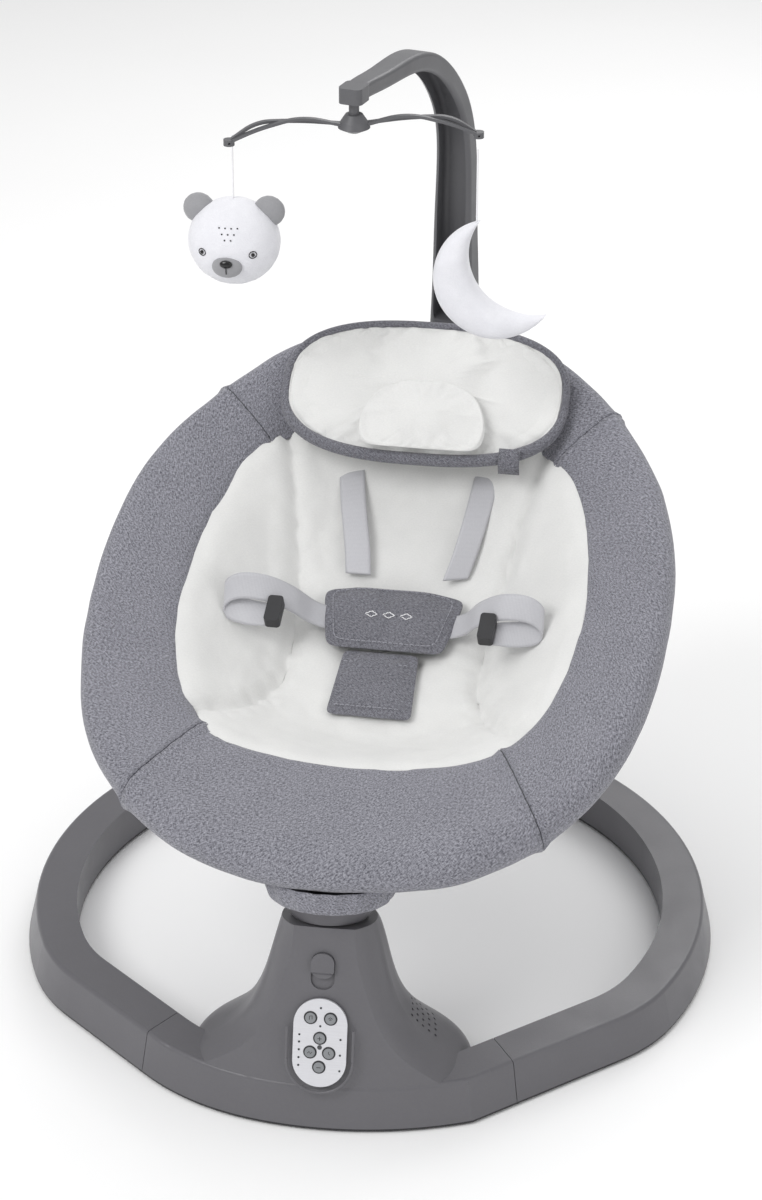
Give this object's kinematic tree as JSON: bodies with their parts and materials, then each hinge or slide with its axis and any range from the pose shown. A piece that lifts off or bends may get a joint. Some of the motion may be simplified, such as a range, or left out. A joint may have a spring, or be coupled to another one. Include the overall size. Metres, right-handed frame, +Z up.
{
  "type": "baby swing",
  "caption": "Motorised baby swing: egg-shaped padded seat with harness and pillow on a tilted shaft over a round floor base, with a toy arm carrying a mobile.",
  "frame": {"origin": "middle of the base's footprint, on the floor", "axes": "+X to the right seen from the front, -Y towards the control panel at the front, +Z up"},
  "size_m": [0.5984, 0.6094, 0.7426],
  "materials": {
    "grey_plastic": "semi-gloss moulded plastic with a fine texture",
    "dark_plastic": "matte moulded plastic",
    "rubber": "matte rubber",
    "steel": "satin steel",
    "copper": "enamelled copper winding",
    "silver_panel": "brushed silver trim",
    "led_lens": "smoked lens",
    "button_grey": "soft-touch grey",
    "frame_metal": "powder-coated tube",
    "heather_fabric": "grey heather woven cloth",
    "white_fabric": "soft white knit",
    "webbing": "silver-grey satin webbing",
    "white_plush": "short white plush",
    "grey_plush": "short grey felt",
    "black_plastic": "polished black",
    "white_cord": "white cord"
  },
  "bodies": {
    "base": {"base_front_housing": "grey_plastic", "base_ring_left": "grey_plastic", "base_ring_right": "grey_plastic", "base_bottom_cover": "dark_plastic", "rubber_feet": "rubber", "screws": "steel", "control_panel": "silver_panel", "indicator_leds": "led_lens", "sensor_window": "led_lens", "circuit_board": "dark_plastic", "drive_coil": "copper", "speaker": "dark_plastic", "power_socket": "dark_plastic", "upper_bearing": "steel", "lower_bearing": "steel"},
    "lock": {"lock_slider": "grey_plastic"},
    "button_music": {"button_music": "button_grey"},
    "button_wireless": {"button_wireless": "button_grey"},
    "button_swing_up": {"button_swing_up": "button_grey"},
    "button_mode": {"button_mode": "button_grey"},
    "button_timer": {"button_timer": "button_grey"},
    "button_swing_down": {"button_swing_down": "button_grey"},
    "seat": {"hub_bowl": "grey_plastic", "drive_shaft": "steel", "magnet_lever": "steel", "seat_bracket": "grey_plastic", "frame_tube_left": "frame_metal", "frame_tube_right": "frame_metal", "frame_connector": "grey_plastic", "rim_cover_front": "heather_fabric", "rim_cover_left": "heather_fabric", "rim_cover_right": "heather_fabric", "rim_cover_rear": "heather_fabric", "seat_liner": "white_fabric", "seat_sling": "heather_fabric", "hub_pouch": "heather_fabric", "head_pillow": "white_fabric", "pillow_binding": "heather_fabric", "head_cradle": "white_fabric", "shoulder_strap_left": "webbing", "shoulder_strap_right": "webbing", "waist_strap_left": "webbing", "waist_strap_right": "webbing", "strap_clips": "dark_plastic", "harness_buckle": "dark_plastic", "buckle_cover": "heather_fabric", "crotch_pad": "heather_fabric"},
    "buckle_button": {"buckle_button": "dark_plastic"},
    "toy_arm": {"toy_arm": "grey_plastic"},
    "mobile": {"mobile_spindle": "grey_plastic", "mobile_hanger": "grey_plastic"},
    "string_left": {"string_left": "white_cord"},
    "string_right": {"string_right": "white_cord"},
    "bear": {"bear_head": "white_plush", "bear_ears": "grey_plush", "bear_muzzle": "grey_plush", "bear_nose": "black_plastic"},
    "moon": {"moon": "white_plush"}
  },
  "joints": [
    {"name": "seat_swing", "type": "hinge", "parent": "base", "child": "seat", "pos_m": [0, -0.2323, 0.16], "axis": [0, 0.225, 0.9744], "range_deg": [-11, 19]},
    {"name": "lock_slide", "type": "slide", "parent": "base", "child": "lock", "axis": [0, 0.2907, 0.9568], "range_m": [-0.009, 0]},
    {"name": "music_press", "type": "slide", "parent": "base", "child": "button_music", "axis": [0, 0.9568, -0.2907], "range_m": [0, 0.0012], "stiffness_N_per_m": 600},
    {"name": "wireless_press", "type": "slide", "parent": "base", "child": "button_wireless", "axis": [0, 0.9568, -0.2907], "range_m": [0, 0.0012], "stiffness_N_per_m": 600},
    {"name": "swing_up_press", "type": "slide", "parent": "base", "child": "button_swing_up", "axis": [0, 0.9568, -0.2907], "range_m": [0, 0.0012], "stiffness_N_per_m": 600},
    {"name": "mode_press", "type": "slide", "parent": "base", "child": "button_mode", "axis": [0, 0.9568, -0.2907], "range_m": [0, 0.0012], "stiffness_N_per_m": 600},
    {"name": "timer_press", "type": "slide", "parent": "base", "child": "button_timer", "axis": [0, 0.9568, -0.2907], "range_m": [0, 0.0012], "stiffness_N_per_m": 600},
    {"name": "swing_down_press", "type": "slide", "parent": "base", "child": "button_swing_down", "axis": [0, 0.9568, -0.2907], "range_m": [0, 0.0012], "stiffness_N_per_m": 600},
    {"name": "buckle_press", "type": "slide", "parent": "seat", "child": "buckle_button", "axis": [0.0439, 0.4369, -0.8984], "range_m": [0, 0.0024], "stiffness_N_per_m": 800},
    {"name": "arm_swivel", "type": "hinge", "parent": "seat", "child": "toy_arm", "pos_m": [0.03634, 0.28743, 0.43], "axis": [0, 0, 1], "range_deg": [-75, 100]},
    {"name": "mobile_spin", "type": "hinge", "parent": "toy_arm", "child": "mobile", "pos_m": [-0.02239, 0.07127, 0.72], "axis": [0, 0, 1], "continuous": true},
    {"name": "bear_swing", "type": "hinge", "parent": "mobile", "child": "string_left", "pos_m": [-0.11982, 0.04877, 0.6985], "axis": [-0.225, 0.9744, 0], "range_deg": [-15, 15]},
    {"name": "moon_swing", "type": "hinge", "parent": "mobile", "child": "string_right", "pos_m": [0.07505, 0.09376, 0.6985], "axis": [-0.225, 0.9744, 0], "range_deg": [-15, 15]},
    {"name": "bear_twist", "type": "hinge", "parent": "string_left", "child": "bear", "pos_m": [-0.11982, 0.04877, 0.6418], "axis": [0, 0, 1], "range_deg": [-90, 90]},
    {"name": "moon_twist", "type": "hinge", "parent": "string_right", "child": "moon", "pos_m": [0.07505, 0.09376, 0.6348], "axis": [0, 0, 1], "range_deg": [-90, 90]}
  ]
}
